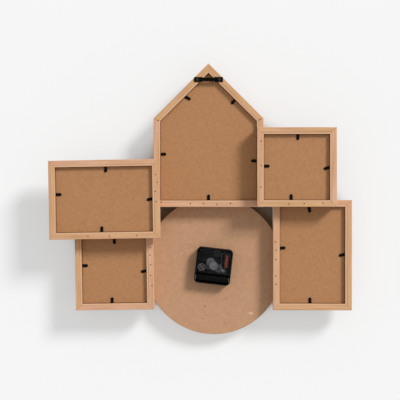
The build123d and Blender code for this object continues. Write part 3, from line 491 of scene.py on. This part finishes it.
made, tree, shader, place = start_material("abs_moulded_black", Roughness=0.42,
                                           Specular_IOR_Level=0.08)
tone = two_tones(tree, place, "#060505", "#110F10", 3.0)[0]
connect(tree, tone, shader, "Base Color")
grit = add(tree, "TexNoise", {"Vector": place, "Scale": 1 / GRIT, "Detail": 2.0})
relief = add(tree, "Bump", {"Strength": 0.2, "Distance": 0.05 * MM, "Height": grit})
connect(tree, relief, shader, "Normal")
dress(["movement_case"], made)

# %% The setting knob
# The same plastic. Its rim and the bar across its hollow are painted lighter grey, as highlights,
# and the bottom of the hollow is painted near black, as shade.
KNOB_SHADE_LEVEL = -6.5 * MM

made, tree, shader, place = start_material("abs_black_painted_highlight_and_shade", Specular_IOR_Level=0.4)
painted_highlight_grey, wear = two_tones(tree, place, "#2E2C2D", "#4D4A4D", 1.5)
axis = add(tree, "SeparateXYZ", {0: place})
# Above this level the knob's colour is a painted highlight, below it a painted shade.
top = add(tree, "Math", {0: axis.outputs["Y"], 1: KNOB_SHADE_LEVEL}, operation="GREATER_THAN")
tone = add(tree, "Mix", {0: top, 6: linear("#141213"), 7: painted_highlight_grey}, data_type="RGBA")
connect(tree, tone, shader, "Base Color")
rough = add(tree, "MapRange", {0: wear, 1: WEAR[0], 2: WEAR[1], 3: 0.25, 4: 0.45})
connect(tree, rough, shader, "Roughness")
dress(["set_knob"], made)

# %% The smoked cover and the wheels
# Polished styrene tinted grey: glossy, and clear enough to show the wheels.
two_tone_finish("styrene_smoked", ["movement_cover"], "#0A0A0C", "#1A1A1D", 4.0,
                Roughness=0.12, Specular_IOR_Level=0.15, Alpha=0.28)

# Moulded acetal: milky greys with a soft, waxy shine. The mould sets the shade of each wheel.
WHEELS = {
    "second_wheel": ("#ACA9AE", "#C0BDC2"),
    "third_wheel": ("#858287", "#979499"),
    "centre_wheel": ("#6F6D72", "#7F7D82"),
    "motion_wheel": ("#6F6D72", "#7F7D82"),
    "hour_wheel": ("#6F6D72", "#7F7D82"),
    "rotor": ("#B4B1AE", "#C8C5C2"),
}
for name, (first, second) in WHEELS.items():
    two_tone_finish(f"acetal_moulded_{name}", [name], first, second, 1.5, Roughness=0.45)

# Thin natural acetal lets light through, so the middle wheel is only a faint milky disc.
two_tone_finish("acetal_thin", ["middle_wheel"], "#B0ADB3", "#C0BDC3", 1.5,
                Roughness=0.4, Alpha=0.16)

# %% [markdown]
# The winding is copper wire in orange enamel on a black bobbin. It would be easy to paint it
# plain orange, but a little banding tells the eye that it is wound. The bands run round the
# coil, whose long axis leans with the movement, and the flanges at its ends stay black.

# %% The winding
# Enamelled copper wire: metal under clear orange varnish, so it shines softly. The turns are drawn
# 0.5 mm apart, because the real 0.1 mm doesn't show. A wave of scale 1 comes round in 0.314 m.
COIL_LENGTH = 22.0 * MM
FLANGE = 1.2 * MM
MOVEMENT_LEAN = radians(-6.5)
TURN = 0.5 * MM
WAVE = 0.314

made, tree, shader, place = start_material("copper_enamelled", Metallic=0.4, Roughness=0.35)
low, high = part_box("drive_coil")
own = add(tree, "Mapping",
          {"Vector": place, "Location": (low + high) / 2, "Rotation": (0, MOVEMENT_LEAN, 0)},
          vector_type="TEXTURE")
turns = add(tree, "TexWave", {"Vector": own, "Scale": WAVE / TURN, "Distortion": 0.6},
            wave_type="BANDS", bands_direction="Z")
tone = add(tree, "Mix",
           {0: turns.outputs["Fac"], 6: linear("#93391D"), 7: linear("#D8754E")},
           data_type="RGBA")
axis = add(tree, "SeparateXYZ", {0: own})
along = add(tree, "Math", {0: axis.outputs["Z"]}, operation="ABSOLUTE")
flange = add(tree, "Math", {0: along, 1: COIL_LENGTH / 2 - FLANGE}, operation="GREATER_THAN")
tone = add(tree, "Mix", {0: flange, 6: tone, 7: linear("#141314")}, data_type="RGBA")
connect(tree, tone, shader, "Base Color")
relief = add(tree, "Bump",
             {"Strength": 0.4, "Distance": 0.1 * MM, "Height": turns.outputs["Fac"]})
connect(tree, relief, shader, "Normal")
dress(["drive_coil"], made)

# %% Iron, brass, nickel, the circuit and the battery
# Soft iron stamped and left bare: dull dark grey.
two_tone_finish("iron_stamped", ["stator"], "#444446", "#56565A", 1.0,
                Metallic=1.0, Roughness=0.5)

# Brass turned on a lathe: yellow and bright, with fine rings that spread the shine.
two_tone_finish("brass_turned", ["nut_and_washer", "minute_pinion"], "#C9A55A", "#D9B96E", 0.8,
                (0.22, 0.38), Metallic=1.0)

# Spring steel plated with nickel: pale, cool and bright where the battery rubs it.
two_tone_finish("nickel_plated", ["battery_contacts"], "#8C8A86", "#A09E9A", 0.8, (0.18, 0.34),
                Metallic=1.0)

# Glass cloth in green lacquer: dark, smooth and glossy.
two_tone_finish("resist_green", ["circuit_board"], "#0B1913", "#122219", 1.5, Roughness=0.35)

# The battery is a steel can in a shrunk plastic film: even black with long soft highlights.
two_tone_finish("film_sleeve_black", ["battery"], "#050505", "#0B0B0C", 5.0, (0.2, 0.3),
                Specular_IOR_Level=0.05)

# %% [markdown]
# ## The front
# The photograph doesn't show the front, so it gets plain things of its kind: a cream dial with
# black batons and a ring of minute marks, black hands, and in each frame a print with a white
# border. The batons are raised in the solid model. The minute marks are only ink, so the
# material draws them, from the angle round the dial's middle.

# %% The dial
# Coated card: cream and almost matt. Whatever stands higher than the card is printed black.
CLOCK_X, CLOCK_Z = -7.95 * MM, -294.25 * MM
DIAL_FACE = -31.5 * MM
MINUTES = 60
INK_STEP = 0.1 * MM
MARK_RADIUS = 98.0 * MM
MARK_HALF_LENGTH = 1.2 * MM
MARK_HALF_WIDTH = 0.03

made, tree, shader, place = start_material("card_coated", Roughness=0.55)
paper = two_tones(tree, place, "#EFECE4", "#F4F2EC", 0.9)[0]
own = add(tree, "VectorMath", {0: place, 1: (CLOCK_X, 0, CLOCK_Z)}, operation="SUBTRACT")
axis = add(tree, "SeparateXYZ", {0: own})
raised = add(tree, "Math", {0: axis.outputs["Y"], 1: DIAL_FACE - INK_STEP}, operation="LESS_THAN")
turn = add(tree, "Math", {0: axis.outputs["X"], 1: axis.outputs["Z"]}, operation="ARCTAN2")
minute = add(tree, "Math", {0: turn, 1: MINUTES / (2 * pi)}, operation="MULTIPLY")
flat = add(tree, "VectorMath", {0: own, 1: (1, 0, 1)}, operation="MULTIPLY")
radius = add(tree, "VectorMath", {0: flat}, operation="LENGTH")
ring = add(tree, "Math", {0: radius.outputs["Value"], 1: MARK_RADIUS, 2: MARK_HALF_LENGTH},
           operation="COMPARE")
near_minute = add(tree, "Math", {0: minute}, operation="ROUND")
mark = add(tree, "Math", {0: minute, 1: near_minute, 2: MARK_HALF_WIDTH}, operation="COMPARE")
mark = add(tree, "Math", {0: mark, 1: ring}, operation="MULTIPLY")
ink = add(tree, "Math", {0: mark, 1: raised}, operation="MAXIMUM")
tone = add(tree, "Mix", {0: ink, 6: paper, 7: linear("#181818")}, data_type="RGBA")
connect(tree, tone, shader, "Base Color")
dress(["dial"], made)

# %% The hands
# Thin aluminium in matt black enamel, with a faint orange peel.
made, tree, shader, place = start_material("enamel_black_matt", Roughness=0.5)
tone, peel = two_tones(tree, place, "#141414", "#1F1F1F", 1.0)
connect(tree, tone, shader, "Base Color")
relief = add(tree, "Bump", {"Strength": 0.15, "Distance": 0.05 * MM, "Height": peel})
connect(tree, relief, shader, "Normal")
dress(["hour_hand", "minute_hand", "second_hand"], made)

# %% The glass
# Float glass 2 mm thick: almost clear, with a sharp shine and a breath of green.
two_tone_finish("glass_float", ["glass_panes"], "#E4ECEA", "#EEF3F1", 40.0,
                Roughness=0.03, IOR=1.52, Alpha=0.12)

# %% [markdown]
# The prints are one solid, so one material draws them all. It finds the frame that a point is in
# and draws a sky and three rows of hills in that frame's own axes, from another number in each,
# so that no two are alike. A photograph would have to be an image file, and a plain print of
# hills does as well for a frame that is meant to take the owner's own.

# %% Which picture a point is in
LIP = 5.0 * MM
BORDER = 12.0 * MM
EYE_LEVEL = {"house": 70.0 * MM}
PICTURE_SEED = 13.7

made, tree, shader, place = start_material("photo_paper_satin", Roughness=0.4)
inside, spot, seed = 0.0, place, 0.0
for number, name in enumerate(LAYOUT):
    own, *_, from_side, from_end, from_roof = outer_sides(tree, place, name)
    near = add(tree, "Math", {0: from_side, 1: from_end}, operation="MINIMUM")
    near = add(tree, "Math", {0: near, 1: from_roof}, operation="MINIMUM")
    here = add(tree, "Math", {0: near, 1: RAIL + LIP + BORDER}, operation="GREATER_THAN")
    own = add(tree, "VectorMath", {0: own, 1: (0, 0, EYE_LEVEL.get(name, 0.0))},
              operation="SUBTRACT")
    inside = add(tree, "Math", {0: inside, 1: here}, operation="MAXIMUM")
    spot = add(tree, "Mix", {0: here, 4: spot, 5: own}, data_type="VECTOR")
    seed = add(tree, "Mix", {0: here, 2: seed, 3: PICTURE_SEED * number}, data_type="FLOAT")
print("a white border of", BORDER / MM, "mm runs round", len(LAYOUT), "pictures")

# %% The sky, the hills and the paper
# Satin photo paper: soft colours, a white border and a low shine. The sky pales between two
# heights. A row of hills has its lowest and highest ground in millimetres and its colour.
SKY_LOW, SKY_HIGH = 5 * MM, 60 * MM
HILLS = ((4.0, 16.0, "#93A7AD"), (-12.0, 6.0, "#6F877F"), (-30.0, -8.0, "#4C6455"))
HILL_WIDTH = 45 * MM
HILL_SEED = 3.1
GROUND = (0.3, 0.7)

axis = add(tree, "SeparateXYZ", {0: spot})
height = add(tree, "MapRange", {0: axis.outputs["Z"], 1: SKY_LOW, 2: SKY_HIGH})
tone = add(tree, "Mix", {0: height, 6: linear("#EBDDC6"), 7: linear("#A7BECB")}, data_type="RGBA")
for low, high, colour in HILLS:
    seed = add(tree, "Math", {0: seed, 1: HILL_SEED}, operation="ADD")
    along = add(tree, "Math", {0: axis.outputs["X"], 1: 1 / HILL_WIDTH, 2: seed},
                operation="MULTIPLY_ADD")
    skyline = add(tree, "TexNoise", {"W": along, "Scale": 1.0, "Detail": 3.0},
                  noise_dimensions="1D")
    top = add(tree, "MapRange",
              {0: skyline, 1: GROUND[0], 2: GROUND[1], 3: low * MM, 4: high * MM})
    below = add(tree, "Math", {0: axis.outputs["Z"], 1: top}, operation="LESS_THAN")
    tone = add(tree, "Mix", {0: below, 6: tone, 7: linear(colour)}, data_type="RGBA")
paper = two_tones(tree, place, "#F4F2EC", "#FAF8F4", 0.7)[0]
tone = add(tree, "Mix", {0: inside, 6: paper, 7: tone}, data_type="RGBA")
connect(tree, tone, shader, "Base Color")
dress(["prints"], made)

# %% [markdown]
# ## Light, board and camera
# The photograph has one soft lamp at the upper right in front of the board, and even light from
# all round. The lamp is a wide sun, so its shadow keeps the same soft edge everywhere. A second
# one lights the dial's side of the clock. On a face that looks at the camera all the light
# together comes to 1, so a colour renders as it is written. On one that looks away from it the
# sum is a little less, so that white paper keeps its tone.

# %% The lamps
# Each lamp has the way in which it shines, its share of the light and its width in degrees.
EVEN_LIGHT = 0.5
BACK_LIGHT = 1.0
FRONT_LIGHT = 0.95
LAMPS = {
    "key_lamp": ((1.12, -1.0, -1.01), BACK_LIGHT - EVEN_LIGHT, 16.0),
    "front_lamp": ((-0.3, 1.0, -0.3), FRONT_LIGHT - EVEN_LIGHT, 25.0),
}

for name, (towards, share, width) in LAMPS.items():
    shine = Vector(towards).normalized()
    lamp = bpy.data.lights.new(name, "SUN")
    lamp.energy = share * pi / abs(shine.y)
    lamp.angle = radians(width)
    holder = bpy.data.objects.new(name, lamp)
    holder.rotation_euler = shine.to_track_quat("-Z", "Y").to_euler()
    bpy.context.scene.collection.objects.link(holder)
    print(name, "shines with", round(lamp.energy, 2))

# %% The even light and the pale surround
PALE = 0.922

world = bpy.data.worlds.new("even_light")
bpy.context.scene.world = world
world.use_nodes = True
tree = world.node_tree
surround = tree.nodes["Background"]
surround.inputs["Color"].default_value = (1, 1, 1, 1)
rays = add(tree, "LightPath", {})
seen = add(tree, "Math",
           {0: rays.outputs["Is Camera Ray"], 1: rays.outputs["Is Glossy Ray"]},
           operation="MAXIMUM")
seen = add(tree, "Math", {0: seen, 1: rays.outputs["Is Transmission Ray"]}, operation="MAXIMUM")
strength = add(tree, "MapRange", {0: seen, 3: EVEN_LIGHT, 4: PALE})
connect(tree, strength, surround, "Strength")
print("even light", EVEN_LIGHT, "and a pale surround", PALE)

# %% [markdown]
# The board is a plane just in front of the dial, on the side away from the camera, and it has to
# do two things that don't go together. Seen from behind the clock it is a solid board with the
# shadows on it. Seen from the front it would hide the clock and its light. So it is there only
# for the camera, and only from its shadow side, and for light that has already bounced twice,
# which keeps the narrow gaps between the frames dark. A little of its white is its own glow,
# painted light, because the photograph's board was brightened until its shadows were pale. That
# glow fades in places that are shut in on all sides, and there the board's colour turns to a
# brown painted shade.

# %% The white board
BOARD_HALF = 6.0
BOARD_GAP = 3.0 * MM
BOARD_MIDDLE = -0.2

mesh = bpy.data.meshes.new("white_board")
shape = bmesh.new()
bmesh.ops.create_grid(shape, x_segments=1, y_segments=1, size=BOARD_HALF)
bmesh.ops.rotate(shape, verts=shape.verts, matrix=Matrix.Rotation(radians(-90), 3, "X"))
bmesh.ops.translate(shape, verts=shape.verts,
                    vec=(0, solid_box[0].y - BOARD_GAP, BOARD_MIDDLE))
shape.to_mesh(mesh)
shape.free()
board = bpy.data.objects.new("white_board", mesh)
bpy.context.scene.collection.objects.link(board)
print("the board faces", [round(c) for c in mesh.polygons[0].normal])

# %% Its paint
# Painted board: matt white, with the glow that is only for the camera, which is painted light.
# In shut-in places its colour is a brown painted shade.
OWN_GLOW = 0.45
SHUT_IN_SHADE = "#A08B73"
SHUT_IN_REACH = 150 * MM
SHUT_LEVEL, OPEN_LEVEL = 0.24, 0.48

made, tree, shader, _ = start_material("board_painted_white", Roughness=0.9,
                                       Specular_IOR_Level=0.0)
made.cycles.emission_sampling = "NONE"
shader.inputs["Emission Color"].default_value = (1, 1, 1, 1)
white = (*[PALE * (1 - OWN_GLOW)] * 3, 1)
around = add(tree, "AmbientOcclusion", {"Distance": SHUT_IN_REACH}, samples=16)
open_air = add(tree, "MapRange", {0: around.outputs["AO"], 1: SHUT_LEVEL, 2: OPEN_LEVEL})
# In shut-in places the white turns to a brown painted shade.
tone = add(tree, "Mix", {0: open_air, 6: linear(SHUT_IN_SHADE), 7: white}, data_type="RGBA")
connect(tree, tone, shader, "Base Color")
rays = add(tree, "LightPath", {})
glow = add(tree, "Math", {0: open_air, 1: PALE * OWN_GLOW}, operation="MULTIPLY")
glow = add(tree, "Math", {0: rays.outputs["Is Camera Ray"], 1: glow}, operation="MULTIPLY")
connect(tree, glow, shader, "Emission Strength")

# %% Where the board shows
SECOND_BOUNCE = 1.5

side = add(tree, "NewGeometry", {})
front = add(tree, "Math",
            {0: rays.outputs["Is Camera Ray"], 1: side.outputs["Backfacing"]},
            operation="SUBTRACT")
deep = add(tree, "Math", {0: rays.outputs["Ray Depth"], 1: SECOND_BOUNCE},
           operation="GREATER_THAN")
shown = add(tree, "Math", {0: front, 1: deep}, operation="MAXIMUM")
clear = add(tree, "BsdfTransparent", {})
see_through = add(tree, "MixShader", {0: shown, 1: clear, 2: shader})
connect(tree, see_through, tree.nodes["Material Output"], "Surface")
mesh.materials.append(made)
print(made.name, "on the board")

# %% [markdown]
# The camera stands 1.8 m behind the clock, where sixteen measured edges of the photograph put
# it, a little to one side.

# %% The camera
STAND = Vector((-46.356 * MM, 1812.918 * MM, -178.901 * MM))
LOOK = Vector((0.032966, -0.999442, -0.005449))
LENS = 102.942
SENSOR = 36.0
FAR = 20.0

camera = bpy.data.cameras.new("camera")
camera.sensor_width = SENSOR
camera.lens = LENS
camera.clip_end = FAR
viewer = bpy.data.objects.new("camera", camera)
viewer.location = STAND
viewer.rotation_euler = LOOK.to_track_quat("-Z", "Y").to_euler()
bpy.context.scene.collection.objects.link(viewer)
bpy.context.scene.camera = viewer
bpy.context.scene.view_settings.view_transform = "Standard"
print("the camera is", round((STAND - Vector((CLOCK_X, 0, CLOCK_Z))).length, 2), "m from the dial")
